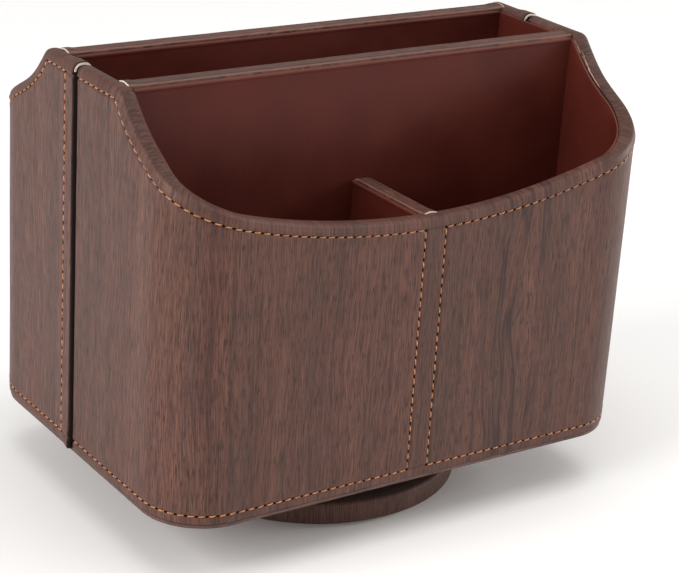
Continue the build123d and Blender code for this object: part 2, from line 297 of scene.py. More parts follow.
def walnut_print():
    """Printed walnut grain: x across the grain and y along it, in metres."""
    t, given, out = new_group(
        "walnut_print",
        [("Vector", "NodeSocketVector", None), ("Figure", "NodeSocketFloat", 1.0)],
        [("Color", "NodeSocketColor"), ("Height", "NodeSocketFloat"), ("Roughness", "NodeSocketFloat")])
    place = given["Vector"]
    split = add(t, "ShaderNodeSeparateXYZ", {0: place}).outputs
    aside = calc(t, "ABSOLUTE", calc(t, "SUBTRACT", split[0], FIGURE_X))
    in_strip = ramp_between(t, aside, FIGURE_HALF, FIGURE_HALF / 3)
    figured = calc(t, "MULTIPLY", in_strip, given["Figure"])

    sway = calc(t, "SUBTRACT", noise_at(t, place, (20, 6, 20), 2), 0.5)
    swell = calc(t, "SUBTRACT", noise_at(t, place, (62, 22, 62), 1), 0.5)
    swell_reach = calc(t, "ADD", SWELL, calc(t, "MULTIPLY", figured, FIGURE_SWELL))
    bend = calc(t, "ADD", calc(t, "MULTIPLY", sway, SWAY), calc(t, "MULTIPLY", swell, swell_reach))
    bent_x = calc(t, "ADD", split[0], bend)
    swayed = add(t, "ShaderNodeCombineXYZ", {0: bent_x, 1: split[1], 2: split[2]}).outputs[0]

    fibre = noise_at(t, swayed, (2600, 110, 2600), 3, 0.62)
    hair = noise_at(t, swayed, (1500, 38, 1500), 2, 0.6)
    streak = noise_at(t, swayed, (420, 9, 420), 3, 0.62)
    band = noise_at(t, swayed, (85, 4.5, 85), 2)
    blush = noise_at(t, swayed, (80, 4, 80), 2)
    pore = noise_at(t, swayed, (2600, 230, 2600), 1, 0.5)
    vein = calc(t, "ABSOLUTE", calc(t, "SUBTRACT", noise_at(t, swayed, (130, 8, 130), 2), 0.5))

    colour = blend_colours(t, ramp_between(t, band, 0.36, 0.64), srgb(94, 62, 52), srgb(110, 75, 63))
    colour = overlay(t, colour, srgb(108, 67, 59), ramp_between(t, blush, 0.52, 0.66), 0.42)
    colour = overlay(t, colour, srgb(86, 66, 58), ramp_between(t, blush, 0.48, 0.34), 0.45)
    colour = overlay(t, colour, srgb(66, 45, 41), ramp_between(t, hair, 0.46, 0.66), 0.5)
    colour = overlay(t, colour, srgb(58, 38, 34), ramp_between(t, fibre, 0.42, 0.62), 0.72)
    colour = overlay(t, colour, srgb(54, 37, 35), ramp_between(t, streak, 0.54, 0.70), 0.6)
    vein_strength = calc(t, "ADD", 0.12, calc(t, "MULTIPLY", figured, 0.62))
    colour = overlay(t, colour, srgb(46, 33, 34), ramp_between(t, vein, 0.035, 0.004), vein_strength)
    pored = ramp_between(t, pore, 0.57, 0.66)
    colour = overlay(t, colour, srgb(38, 24, 21), pored, 0.58)

    depth = calc(t, "SUBTRACT", calc(t, "MULTIPLY", fibre, 0.5), calc(t, "MULTIPLY", pored, 0.5))
    t.links.new(colour, out["Color"])
    t.links.new(depth, out["Height"])
    t.links.new(calc(t, "ADD", 0.38, calc(t, "MULTIPLY", fibre, 0.2)), out["Roughness"])
    return t


def skin_grain():
    """Fine pebbling of a coated leatherette face, in metres."""
    t, given, out = new_group(
        "skin_grain", [("Vector", "NodeSocketVector", None), ("Pebble", "NodeSocketFloat", 1.0)],
        [("Height", "NodeSocketFloat"), ("Patch", "NodeSocketFloat")])
    place = given["Vector"]
    stretched = add(t, "ShaderNodeMapping", {"Vector": place, "Scale": (1500, 1500, 1500)})
    cells = add(t, "ShaderNodeTexVoronoi", {"Vector": stretched.outputs[0], "Scale": 1.0})
    pebbles = calc(t, "MULTIPLY", cells.outputs["Distance"], 0.6)
    fine = calc(t, "MULTIPLY", noise_at(t, place, (3200, 3200, 3200), 2), 0.5)
    height = calc(t, "ADD", pebbles, fine)
    t.links.new(calc(t, "MULTIPLY", height, given["Pebble"]), out["Height"])
    t.links.new(noise_at(t, place, (38, 38, 38), 3), out["Patch"])
    return t


WALNUT = walnut_print()
GRAIN = skin_grain()


def use(tree, group, values):
    """Place a node group in a material with its own values."""
    return add(tree, "ShaderNodeGroup", values, node_tree=group).outputs


def new_material(name, **shader):
    """A material whose plain shader values are set on the shader's own sockets."""
    material = bpy.data.materials.new(name)
    material.use_nodes = True
    tree = material.node_tree
    surface = tree.nodes["Principled BSDF"]
    for key, value in shader.items():
        surface.inputs[key.replace("_", " ")].default_value = value
    return material, tree, surface


def bump(tree, surface, height, distance, strength):
    """Raise a surface by height times distance."""
    made = add(tree, "ShaderNodeBump", {"Height": height, "Distance": distance, "Strength": strength})
    tree.links.new(made.outputs[0], surface.inputs["Normal"])


# ---- materials -----------------------------------------------------------------------------
def covered_walnut(name, folded=True):
    """Wood-grain leatherette on its sheet UV map, creased and frayed where it is rolled over, with
    painted shade and highlight.
    """
    material, t, surface = new_material(name, Roughness=0.45, Specular_IOR_Level=0.24)
    sheet = add(t, "ShaderNodeUVMap", uv_map="sheet").outputs[0]
    printed = use(t, WALNUT, {"Vector": sheet})
    grain = use(t, GRAIN, {"Vector": sheet, "Pebble": 0.5})
    colour = printed["Color"]
    height = calc(t, "ADD", printed["Height"], calc(t, "MULTIPLY", grain["Height"], 0.35))
    if folded:
        along = add(t, "ShaderNodeUVMap", uv_map="rim").outputs[0]
        roll = add(t, "ShaderNodeAttribute", attribute_name="roll").outputs["Fac"]
        creases = noise_at(t, along, (1800, 170, 1800), 3, 0.65)
        creased = calc(t, "MULTIPLY", ramp_between(t, creases, 0.40, 0.62), roll)
        height = calc(t, "ADD", height, calc(t, "MULTIPLY", creased, 3.6))
        colour = overlay(t, colour, srgb(88, 58, 49), roll, 0.5)
        # painted shade in the creases
        colour = overlay(t, colour, srgb(48, 31, 27), creased, 0.7)
        frayed = add(t, "ShaderNodeAttribute", attribute_name="frayed").outputs["Fac"]
        tufts = noise_at(t, along, (170, 900, 0), 3, 0.7)
        ragged = ramp_between(t, calc(t, "ADD", tufts, calc(t, "MULTIPLY", frayed, 0.2)), 0.68, 0.74)
        colour = overlay(t, colour, srgb(176, 142, 126), ramp_between(t, frayed, 0.05, 0.3), ragged)
    else:
        # painted highlight along the trims' rounded edges
        painted_highlight = add(t, "ShaderNodeAttribute", attribute_name="roll").outputs["Fac"]
        colour = overlay(t, colour, srgb(150, 116, 104), painted_highlight, 0.3)
    # painted shade where the shade mark is set: seam gaps, the tuck under the lining, the base disc
    shade = add(t, "ShaderNodeAttribute", attribute_name="shade").outputs["Fac"]
    colour = blend_colours(t, shade, colour, srgb(14, 7, 6))
    t.links.new(colour, surface.inputs["Base Color"])
    dulled = calc(t, "ADD", printed["Roughness"], calc(t, "MULTIPLY", shade, 0.6), clamp=True)
    t.links.new(dulled, surface.inputs["Roughness"])
    bump(t, surface, height, 0.07 * MM, 0.8)
    return material


def object_walnut(name):
    """Wood-grain leatherette on a flat CAD piece, grain along its length."""
    material, t, surface = new_material(name, Roughness=0.5, Specular_IOR_Level=0.4)
    place = add(t, "ShaderNodeTexCoord").outputs["Object"]
    turned = add(t, "ShaderNodeMapping", {"Vector": place, "Rotation": (0, 0, math.pi / 2)}).outputs[0]
    printed = use(t, WALNUT, {"Vector": turned, "Figure": 0.0})
    t.links.new(printed["Color"], surface.inputs["Base Color"])
    t.links.new(printed["Roughness"], surface.inputs["Roughness"])
    bump(t, surface, printed["Height"], 0.05 * MM, 0.7)
    return material


def lining_skin(name):
    """Smooth burgundy-brown leatherette."""
    material, t, surface = new_material(name, Roughness=0.5, Specular_IOR_Level=0.22)
    place = add(t, "ShaderNodeTexCoord").outputs["Object"]
    grain = use(t, GRAIN, {"Vector": place, "Pebble": 1.0})
    patch = ramp_between(t, grain["Patch"], 0.35, 0.68)
    colour = blend_colours(t, patch, srgb(80, 29, 21), srgb(92, 36, 27))
    pits = ramp_between(t, grain["Height"], 0.2, 0.55)
    colour = overlay(t, colour, srgb(50, 16, 13), pits, 0.18)
    # painted highlight along the folded bead at the lining's top
    painted_highlight = add(t, "ShaderNodeAttribute", attribute_name="roll").outputs["Fac"]
    colour = overlay(t, colour, srgb(140, 88, 76), painted_highlight, 0.28)
    t.links.new(colour, surface.inputs["Base Color"])
    t.links.new(calc(t, "ADD", 0.44, calc(t, "MULTIPLY", patch, 0.10)), surface.inputs["Roughness"])
    bump(t, surface, grain["Height"], 0.05 * MM, 0.6)
    return material


def thread_twist(name):
    """Waxed sewing thread, two-ply, on Object coordinates."""
    material, t, surface = new_material(name, Roughness=0.55, Specular_IOR_Level=0.4)
    place = add(t, "ShaderNodeTexCoord").outputs["Object"]
    strand = noise_at(t, place, (2600, 2600, 2600), 2, 0.6)
    patch = noise_at(t, place, (160, 160, 160), 2)
    # painted highlight and shade along the twisted strands
    lit = ramp_between(t, strand, 0.35, 0.65)
    colour = blend_colours(t, lit, srgb(118, 64, 36), srgb(222, 158, 110))
    colour = overlay(t, colour, srgb(116, 62, 40), ramp_between(t, patch, 0.5, 0.7), 0.5)
    t.links.new(colour, surface.inputs["Base Color"])
    bump(t, surface, strand, 0.08 * MM, 0.8)
    return material


def mottled(name, dark, pale, scale, roughness,
            metallic=0.0, depth=0.03, stretch=(1, 1, 1), specular=0.4):
    """A plain stuff with fine mottling and bump, on Object coordinates."""
    material, t, surface = new_material(
        name, Roughness=roughness, Metallic=metallic, Specular_IOR_Level=specular)
    place = add(t, "ShaderNodeTexCoord").outputs["Object"]
    fine = noise_at(t, place, tuple(scale * part for part in stretch), 4, 0.65)
    broad = noise_at(t, place, tuple(scale / 12 * part for part in stretch), 2)
    mixed = calc(t, "ADD", calc(t, "MULTIPLY", fine, 0.6), calc(t, "MULTIPLY", broad, 0.4))
    colour = blend_colours(t, ramp_between(t, mixed, 0.35, 0.65), dark, pale)
    uneven = calc(t, "ADD", roughness - 0.06, calc(t, "MULTIPLY", fine, 0.12))
    t.links.new(colour, surface.inputs["Base Color"])
    t.links.new(uneven, surface.inputs["Roughness"])
    bump(t, surface, fine, depth * MM, 0.7)
    return material


COVER = covered_walnut("woodgrain_cover")
TRIM = covered_walnut("woodgrain_trim", folded=False)
PANEL = object_walnut("woodgrain_panel")
LINING = lining_skin("burgundy_lining")
THREAD = thread_twist("tan_thread")
# near-black needle holes, as painted shade in the holes
NEEDLE_HOLE_SHADE = mottled("needle_hole", srgb(26, 10, 6), srgb(48, 20, 12), 2500, 0.9, specular=0.02)
RAW = mottled("raw_leatherette_edge", srgb(206, 186, 172), srgb(240, 228, 216), 1800, 0.7)
# near-black tape, as painted shade in the seam gaps
GAP_SHADE_TAPE = mottled("seam_gap_shade_tape", srgb(14, 8, 7), srgb(26, 15, 13), 1400, 0.9, specular=0.02)
BOARD = mottled("fibreboard", srgb(132, 98, 66), srgb(168, 132, 96), 1600, 0.85, depth=0.08)
ALLOY = mottled("bearing_alloy", srgb(150, 152, 156), srgb(196, 198, 202), 900, 0.34,
                metallic=1.0, depth=0.01, stretch=(1, 1, 6))
STEEL = mottled("polished_steel", srgb(140, 141, 146), srgb(176, 177, 182), 700, 0.22,
                metallic=1.0, depth=0.004)
NYLON = mottled("nylon", srgb(206, 202, 192), srgb(226, 223, 214), 900, 0.5)
FOAM = mottled("foot_foam", srgb(14, 14, 15), srgb(34, 33, 34), 1500, 0.9, depth=0.15)

# ---- covers --------------------------------------------------------------------------------
STITCH_DROP = 3.9 * MM       # top stitch line, below the sloping rim
TIP_STITCH_DROP = 2.9 * MM   # and below the flat rims
STITCH_RISE = 3.2 * MM       # bottom stitch line, above the cover's bottom edge
MIDDLE_STITCH_S = 4.0 * MM   # the two upright lines at the middle of the front and rear
HEM_STITCH = 6.7 * MM        # upright line beside the rear cover's folded edge
OUTER_ROLL_R = 1.5 * MM      # edges of the rolled rim
INNER_ROLL_R = 1.5 * MM
ROLL_INNER = LINING_FROM + 0.14 * MM  # inset of the rolled sheet's inner side
SEAM_GAP = 1.05 * MM         # between the two covers at the side seams
FRONT_TURN_IN = 0.75 * MM    # how far the front cover's edge dips at the seam
REAR_TURN_IN = 1.4 * MM      # and the rear cover's folded hem
HEM_PUFF = 0.12 * MM
HEM_CORNER_LIFT = 0.45 * MM  # how far the hem's bottom corner curls out
RIM_PADDING = 0.2 * MM       # swell between the rolled rim and its stitch line
UNEVEN = 0.12 * MM
HEM_SAG = 0.8 * MM           # how far the rear cover's hem hangs below the bottom edge
SKIN_T = 0.7 * MM
STRAIGHT = HALF_D - CORNER_R
FRONT_END = CORNER_END_S + STRAIGHT + SEAM_Y - SEAM_GAP
REAR_END = CORNER_END_S + STRAIGHT - SEAM_Y
BOTTOM_STITCH_Z = BOTTOM_Z + STITCH_RISE


def cover_rows():
    """Rows of the cover's section from its turned-under bottom to inside the rim."""
    rows = []
    turned_under = ((0.45, 2.0), (0.15, 1.3), (0.1, 0.75), (0.2, 0.3), (0.5, 0.06), (1.0, 0), (1.7, 0))
    for rise, inset in turned_under:
        rows.append(("turn", (rise * MM, inset * MM)))
    for rise in (2.3, 2.75, 3.0, 3.2, 3.4, 3.65, 4.1, 4.9, 6.2, 8.0, 10.5):
        rows.append(("rise", rise * MM))
    for step in range(1, 18):
        rows.append(("share", step / 18))
    for drop in (11.0, 8.0, 5.8, 4.2, 3.0, 2.1, 1.4, 0.9, 0.5, 0.2):
        rows.append(("drop", drop * MM))
    for share in (1.0, 0.93, 0.82, 0.66, 0.48, 0.3, 0.14):
        rows.append(("band", share))
    for step in range(7):
        rows.append(("outer", math.pi / 2 * step / 6))
    rows += [("top", 1 / 3), ("top", 2 / 3)]
    for step in range(6):
        rows.append(("inner", math.pi / 2 * (1 + step / 5)))
    rows.append(("tuck", 2.6 * MM))
    return rows


def seam_fold(face, left):
    """How far a cover stands out near its seam, left being the length left to its edge."""
    if face < 0:
        return -FRONT_TURN_IN * (1 - smooth(left, -0.05 * MM, 0.55 * MM))
    hem = HEM_T * smooth(left, 9.5 * MM, 5.0 * MM)
    hem += HEM_PUFF * smooth(left, 3.0 * MM, 1.2 * MM)
    return hem - REAR_TURN_IN * (1 - smooth(left, -0.1 * MM, 0.8 * MM))


def stitch_dent(distance):
    """Depth pulled in by a line of stitches, with the slight swell beside it."""
    d = abs(distance) / MM
    dent = 0.34 * math.exp(-((d / 0.42) ** 2))
    swell = 0.10 * math.exp(-(((d - 1.5) / 0.8) ** 2))
    return (swell - dent) * MM


def stitch_drop(a):
    """Distance from the rim down to the top stitch line."""
    towards_tip = smooth(a, TIP_START_S - 6 * MM, RIM_TIP[0])
    return STITCH_DROP + (TIP_STITCH_DROP - STITCH_DROP) * towards_tip


CRISP_SETTLE = 0.1 * MM
SOFT_SETTLE = 0.6 * MM
RIM_CROWN = 0.15 * MM        # rise of the rolled rim, and how much more it has on the flat tops
FLAT_CROWN = 0.7 * MM


def settle(s, face):
    """How far the rim has sunk beside the rounded corners; the front left one is crisp."""
    a = abs(s)
    depth = CRISP_SETTLE if face < 0 and s < 0 else SOFT_SETTLE
    return depth * smooth(a, 80 * MM, 96 * MM) * smooth(a, 124 * MM, 112 * MM)


def outer_roll(s, face):
    """Radius of the rolled rim's outer edge, softer where the rim has sunk."""
    return OUTER_ROLL_R + 0.4 * settle(s, face)


def crown(a):
    """Rise of the rolled rim above the rim line, fuller on the flat tops."""
    return RIM_CROWN + FLAT_CROWN * smooth(a, RIM_TIP[0] - 10 * MM, RIM_TIP[0] - 1 * MM)


def rim_section(s, face, row):
    """Inset, height above the rim, lean and developed length of a row of the rolled rim."""
    kind, at = row
    radius = outer_roll(s, face)
    inner_radius = INNER_ROLL_R - 1.3 * settle(s, face)
    start = (math.pi / 2 - 1) * OUTER_ROLL_R
    flat_end = ROLL_INNER - inner_radius
    if kind == "outer":
        inset = radius * (1 - math.cos(at))
        height = radius * (math.sin(at) - 1)
        lean = at
    elif kind == "top":
        inset = radius + (flat_end - radius) * at
        height = 0.0
        lean = math.pi / 2
    elif kind == "inner":
        inset = flat_end - inner_radius * math.cos(at)
        height = inner_radius * (math.sin(at) - 1)
        lean = at
    else:
        inset = ROLL_INNER
        height = -at
        lean = math.pi
    length = start + inset - OUTER_ROLL_R - (height if lean > math.pi / 2 else -height)
    rise = crown(abs(s)) * math.sin(math.pi * min(inset / ROLL_INNER, 1)) ** 0.7
    return inset, height + rise - settle(s, face), lean, length


def cover_lift(s, z, face, end, row):
    """Distance that the covering stands out from the wall, from seams, stitches and padding."""
    kind, at = row
    a = abs(s)
    lift = seam_fold(face, end - a)
    lift += noise.noise(Vector((s * 26, z * 20, face * 5.0))) * UNEVEN
    if kind == "band":
        lift += stitch_dent((stitch_drop(a) - OUTER_ROLL_R) * (1 - at))
        lift += RIM_PADDING * math.sin(math.pi * at)
    elif kind == "drop":
        lift += stitch_dent(at)
    elif kind == "rise":
        lift += stitch_dent(z - BOTTOM_STITCH_Z)
    if kind in ("share", "drop") or (kind == "rise" and z > BOTTOM_STITCH_Z):
        uprights = [a - MIDDLE_STITCH_S]
        if face > 0:
            uprights.append(a - (end - HEM_STITCH))
        lift += sum(stitch_dent(d) for d in uprights if abs(d) < 4 * MM)
    if face > 0 and kind in ("rise", "turn"):
        hem_corner = smooth(end - a, 7 * MM, 2 * MM) * smooth(z, BOTTOM_Z + 9 * MM, BOTTOM_Z)
        lift += HEM_CORNER_LIFT * hem_corner
    return lift


def cover_columns(face, end):
    """Developed lengths of the cover's columns, closer at the stitch lines, tips and seams."""
    half = [0.0, 1.0, 2.0, 2.8, 3.3, 3.6, 3.8, 4.0, 4.2, 4.4, 4.7, 5.2, 6.2, 7.4]
    half = [v * MM for v in half]
    step = 1.7 * MM
    while half[-1] + step < TIP_START_S - 1.5 * MM:
        half.append(half[-1] + step)
    at = TIP_START_S - 1.0 * MM
    while at < RIM_TIP[0] + 0.6 * MM:
        half.append(at)
        at += 0.45 * MM
    lefts = [3.0, 2.0, 1.2, 0.75, 0.5, 0.32, 0.18, 0.07, 0.0]
    if face > 0:
        lefts = [9.5, 8.5, 7.6, 7.1, 6.9, 6.7, 6.5, 6.3, 5.8, 5.0, 4.0] + lefts
    stop = end - lefts[0] * MM
    while half[-1] + 2.2 * MM < stop:
        half.append(half[-1] + 2.0 * MM)
    half += [end - left * MM for left in lefts]
    return [-a for a in reversed(half[1:])] + half


def sheet_spot(s, face, end, row):
    """Developed length and height on the wall of a point of the cover below the rolled rim."""
    kind, at = row
    a = abs(s)
    line_a, line_z = off_rim(a, -stitch_drop(a))
    if kind in ("rise", "turn"):
        rise = at if kind == "rise" else at[0]
        if face > 0:
            rise -= HEM_SAG * smooth(end - a, 7 * MM, 1 * MM) * (1 - smooth(rise, 0, 6 * MM))
        return line_a, BOTTOM_Z + rise
    if kind == "share":
        low_top = BOTTOM_Z + 10.5 * MM
        return line_a, low_top + (line_z - 11 * MM - low_top) * at
    if kind == "drop":
        return line_a, line_z - at
    top = -outer_roll(s, face) - settle(s, face)
    return off_rim(a, top - (stitch_drop(a) + top) * at)


FRONT_SEAM_SHADE = 0.6 * MM  # how far from its edge each cover is darkened by painted shade into the seam
REAR_SEAM_SHADE = 1.5 * MM
REAR_PRINT_SHIFT = 0.5       # the rear cover is cut from another stretch of the print, in metres


def frayed_edge(s, lean):
    """Where the rolled sheet's cut edge shows inside the front rim."""
    turned = lean / math.pi
    inner = smooth(turned, 0.66, 0.74) * smooth(turned, 0.98, 0.86)
    slope = smooth(s, 104 * MM, 112 * MM) * smooth(s, 130 * MM, 125 * MM)
    left = 0.3 * smooth(s, -52 * MM, -44 * MM) * smooth(s, -6 * MM, -14 * MM)
    return inner * (slope + left)


def make_cover(name, face, end):
    """A cover with rolled rim, from seam to seam; face is -1 for the front and 1 for the rear."""
    seam_shade = REAR_SEAM_SHADE if face > 0 else FRONT_SEAM_SHADE
    print_shift = REAR_PRINT_SHIFT if face > 0 else 0.0

    def place(s, row):
        a = abs(s)
        marks = (0.0, 0.0)
        if row[0] in ("outer", "top", "inner", "tuck"):
            inset, k, lean, length = rim_section(s, face, row)
            lift = cover_lift(s, rim_point(a)[0], face, end, row)
            spot_a, z = off_rim(a, k + lift * math.sin(lean))
            flat_a, flat_z = off_rim(a, length)
            steep = smooth(rim_point(a)[1], 0.25, 0.5)
            rolled = smooth(length, -1.2 * MM, 0.6 * MM) * (0.12 + 0.88 * steep)
            marks = (rolled, frayed_edge(s, lean) if face < 0 else 0.0)
        else:
            inset = row[1][1] if row[0] == "turn" else 0.0
            lean = 0.0
            length = -STITCH_DROP
            spot_a, z = sheet_spot(s, face, end, row)
            flat_a, flat_z = spot_a, z
            lift = cover_lift(s, z, face, end, row)
        point = wall_point(math.copysign(spot_a, s), inset - lift * math.cos(lean), z, face)
        # painted shade: near the seam edge and in the rim's tuck under the lining
        shade = 1 - smooth(end - a, 0.25 * MM, seam_shade)
        shade = max(shade, 0.85 * smooth(lean, math.pi * 0.84, math.pi * 0.97))
        flat_s = math.copysign(flat_a, s) + print_shift
        return point, (flat_s, flat_z), (s, length), marks + (shade,)

    bm = shaped_grid(cover_columns(face, end), cover_rows(), place, away_from_axis)
    return thicken(finish_mesh(bm, name, COVER, CADDY,
                               replaced=[name.replace("_leatherette", "")]), SKIN_T)


make_cover("front_cover_leatherette", -1, FRONT_END)
make_cover("rear_cover_leatherette", 1, REAR_END)


# ---- wall linings --------------------------------------------------------------------------
LINING_DROP = 1.0 * MM       # the lining's folded top, below the rim
LINING_SKIN_T = 0.3 * MM


def lining_rows():
    """Rows of the lining from the floor, over its folded top and down behind it."""
    rows = [("rise", 0.0)]
    rows += [("share", step / 12) for step in range(1, 12)]
    rows += [("drop", drop * MM) for drop in (9.0, 4.0, 1.5, 0.4)]
    rows += [("fold", math.pi * step / 7) for step in range(8)]
    rows.append(("tuck", 3.4 * MM))
    return rows


def make_wall_lining(name, face, end):
    """The lining of one wall, folded over at its top."""
    fold_r = LINING_T / 2
    fold_k = -LINING_DROP - fold_r

    def place(s, row):
        kind, at = row
        spot_a, line_z = off_rim(abs(s), -3.0 * MM)
        depth = painted_highlight = 0.0
        if kind == "rise":
            z = FLOOR_Z
        elif kind == "share":
            z = FLOOR_Z + (line_z - 9 * MM - FLOOR_Z) * at
        elif kind == "drop":
            z = line_z - at
        elif kind == "fold":
            spot_a, z = off_rim(abs(s), fold_k + fold_r * math.sin(at) - settle(s, face))
            depth = fold_r * (1 - math.cos(at))
            # painted highlight over the top of the fold
            painted_highlight = smooth(at, 0.5, 1.1) * smooth(at, 2.6, 2.0)
        else:
            spot_a, z = off_rim(abs(s), -at)
            depth = LINING_T
        puff = UNEVEN * noise.noise(Vector((s * 30, z * 30, 3.0)))
        point = wall_point(math.copysign(spot_a, s), WALL_T - depth + puff, z, face)
        return point, (s, z), (s, z), (painted_highlight, 0.0, 0.0)

    columns = cover_columns(-1, end)
    bm = shaped_grid(columns, lining_rows(), place, lambda p: -away_from_axis(p))
    return thicken(finish_mesh(bm, name, LINING, CADDY,
                               replaced=[name.replace("_leatherette", "")]), LINING_SKIN_T)


make_wall_lining("front_wall_lining_leatherette", -1, CORNER_END_S + STRAIGHT + SEAM_Y)
make_wall_lining("rear_wall_lining_leatherette", 1, CORNER_END_S + STRAIGHT - SEAM_Y)


# ---- lofted strips: divider linings, trims and raw edges -------------------------------------
def lofted(name, stations, profile, place, material, painted_highlight=(), replaced=()):
    """A closed strip: the profile's points carried through the stations, with both ends closed."""
    loop = profile + profile[:1]

    def put(station, spot):
        point = place(station, spot)
        u, v = (spot[2], station) if len(spot) > 2 else (spot[0], station)
        # the listed profile points get the roll mark, which the trim and lining paint paler as a
        # highlight
        edge = 1.0 if loop.index(spot) in painted_highlight else 0.0
        return point, (u, v), (station, spot[1]), (edge, 0.0, 0.0)

    bm = shaped_grid(stations, loop, put, lambda p: Vector((0, 0, 1)))
    bmesh.ops.remove_doubles(bm, verts=bm.verts, dist=0.002 * MM)
    open_edges = [e for e in bm.edges if e.is_boundary]
    bmesh.ops.holes_fill(bm, edges=open_edges, sides=0)
    bmesh.ops.recalc_face_normals(bm, faces=bm.faces)
    piece = finish_mesh(bm, name, material, CADDY, replaced=replaced)
    piece.data.set_sharp_from_angle(angle=math.radians(50))
    return piece


TRIM_DROP = 0.95 * MM        # the lining's bead, below the divider's top
CUSHION = 0.22 * MM          # how far a divider's lining swells at its middle
BEAD_EDGE = (13, 14, 15)     # the bead's points of the lining's profile, painted paler as a highlight


def make_divider_lining(node, outward, along, top_z):
    """One face of a divider: a thin cushioned sheet with a folded bead along its top."""
    low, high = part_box(node)
    axis = 0 if along == "x" else 1
    across = 1 - axis
    back = low[across] if outward > 0 else high[across]
    thickness = high[across] - low[across]
    top = top_z - TRIM_DROP
    height = top - low.z
    profile = [(0.0, low.z), (1.0, low.z)]
    for share in (0.04, 0.12, 0.25, 0.4, 0.55, 0.7, 0.82, 0.92):
        profile.append((1.0, low.z + height * share))
    for out, drop in ((1.0, 2.0), (1.1, 1.7), (1.3, 1.2), (1.32, 0.6), (1.15, 0.2), (0.7, 0), (0.0, 0)):
        profile.append((out, top - drop * MM))
    start, stop = low[axis], high[axis]

    def place(station, spot):
        share = (station - start) / (stop - start)
        rise = (spot[1] - low.z) / height
        puff = 0.0
        if spot[0] == 1.0:
            along_middle = math.sin(math.pi * share) ** 0.5
            up_middle = math.sin(math.pi * min(rise, 1)) ** 0.5
            puff = CUSHION * along_middle * up_middle
            puff += 0.08 * MM * noise.noise(Vector((station * 45, spot[1] * 45, back * 90)))
        offset = outward * (spot[0] * thickness + puff)
        point = Vector((0, 0, spot[1]))
        point[axis] = station
        point[across] = back + offset
        return point

    stations = steps_between(start, stop, 48 if along == "x" else 16)
    lofted(node + "_leatherette", stations, profile, place, LINING,
           painted_highlight=BEAD_EDGE, replaced=[node])


TRIM_HALF = [(0.98, -1.6), (1.0, -0.9), (1.0, -0.5), (0.95, -0.2), (0.86, -0.03), (0.76, 0.0),
             (0.70, -0.05), (0.66, -0.17), (0.62, -0.06), (0.35, 0.03)]
TRIM_SECTION = [(-n, z) for n, z in TRIM_HALF] + [(0.0, 0.05)] + TRIM_HALF[::-1]
TRIM_EDGES = (3, 4, 16, 17)  # the section's rounded edges, painted paler as a highlight
DIVIDER_CROWN = 0.55 * MM    # rise of the dividers' trims above the flat rims
LAP_RISE = 0.6 * MM          # rise of a trim where it laps over a rim
LAP_ARCH = 0.5 * MM
LAP_SHORT = 1.0 * MM         # the dividers' laps end this far inside the CAD strip
TRIM_BUTT = 2.4 * MM         # a trim without a lap stops this far from the CAD strip's end
CUT_EDGE_T = 0.22 * MM


def make_trim(node, along, top_z, raw_ends):
    """The strip over a divider's top, its ends lapped over the rims, with pale cut ends."""
    low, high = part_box(node)
    axis = 0 if along == "x" else 1
    across = 1 - axis
    middle = (low[across] + high[across]) / 2
    half = (high[across] - low[across]) / 2
    profile = [(n, z * MM, n * half + middle) for n, z in TRIM_SECTION]

    def laps(station):
        reach = 0.0
        for side, limit in ((-1, start), (1, stop)):
            if side in raw_ends:
                reach = max(reach, 1 - smooth(abs(station - limit), 1.6 * MM, 5.0 * MM))
        return reach

    def place(station, spot):
        lap = laps(station)
        arch = -LAP_ARCH * abs(spot[0]) ** 3 * lap
        wave = 0.07 * MM * noise.noise(Vector((station * 60, spot[0] * 2, middle * 40)))
        point = Vector((0, 0, top_z + spot[1] + LAP_RISE * lap + arch + wave))
        point[axis] = station
        point[across] = middle + spot[0] * half * (1 + 0.04 * lap)
        return point

    short = LAP_SHORT if along == "x" else 0.0
    start = low[axis] + (short if -1 in raw_ends else TRIM_BUTT)
    stop = high[axis] - (short if 1 in raw_ends else TRIM_BUTT)
    inner = steps_between(start + 6 * MM, stop - 6 * MM, 44 if along == "x" else 10)
    first_lap = steps_between(start, inner[0], 8)[:-1]
    last_lap = steps_between(inner[-1], stop, 8)[1:]
    stations = first_lap + inner + last_lap
    lofted(node + "_leatherette", stations, profile, place, TRIM,
           painted_highlight=TRIM_EDGES, replaced=[node])
    for side, limit in ((-1, start), (1, stop)):
        if side not in raw_ends:
            continue

        def place_cut(station, spot):
            point = place(limit, spot)
            point[axis] = station
            return point

        edge = sorted((limit - side * 0.02 * MM, limit + side * CUT_EDGE_T))
        thin = [(n * 0.97, (z + 0.02) * MM) for n, z in TRIM_SECTION if abs(z) < 0.6]
        under = [(n, z - 0.4 * MM) for n, z in reversed(thin)]
        name = f"{node}_cut_edge_{'low' if side < 0 else 'high'}"
        lofted(name, edge, thin + under, place_cut, RAW)


for bay, side in (("front", -1), ("rear", 1)):
    make_divider_lining(f"{bay}_divider_outer_lining", side, "x", TOP_Z + DIVIDER_CROWN)
    make_divider_lining(f"{bay}_divider_inner_lining", -side, "x", TOP_Z + DIVIDER_CROWN)
    make_trim(f"{bay}_divider_trim", "x", TOP_Z + DIVIDER_CROWN, {-1} if bay == "front" else {-1, 1})
    make_divider_lining(f"{bay}_partition_left_lining", -1, "y", RIM_FRONT_Z)
    make_divider_lining(f"{bay}_partition_right_lining", 1, "y", RIM_FRONT_Z)
    make_trim(f"{bay}_partition_trim", "y", RIM_FRONT_Z, {side})


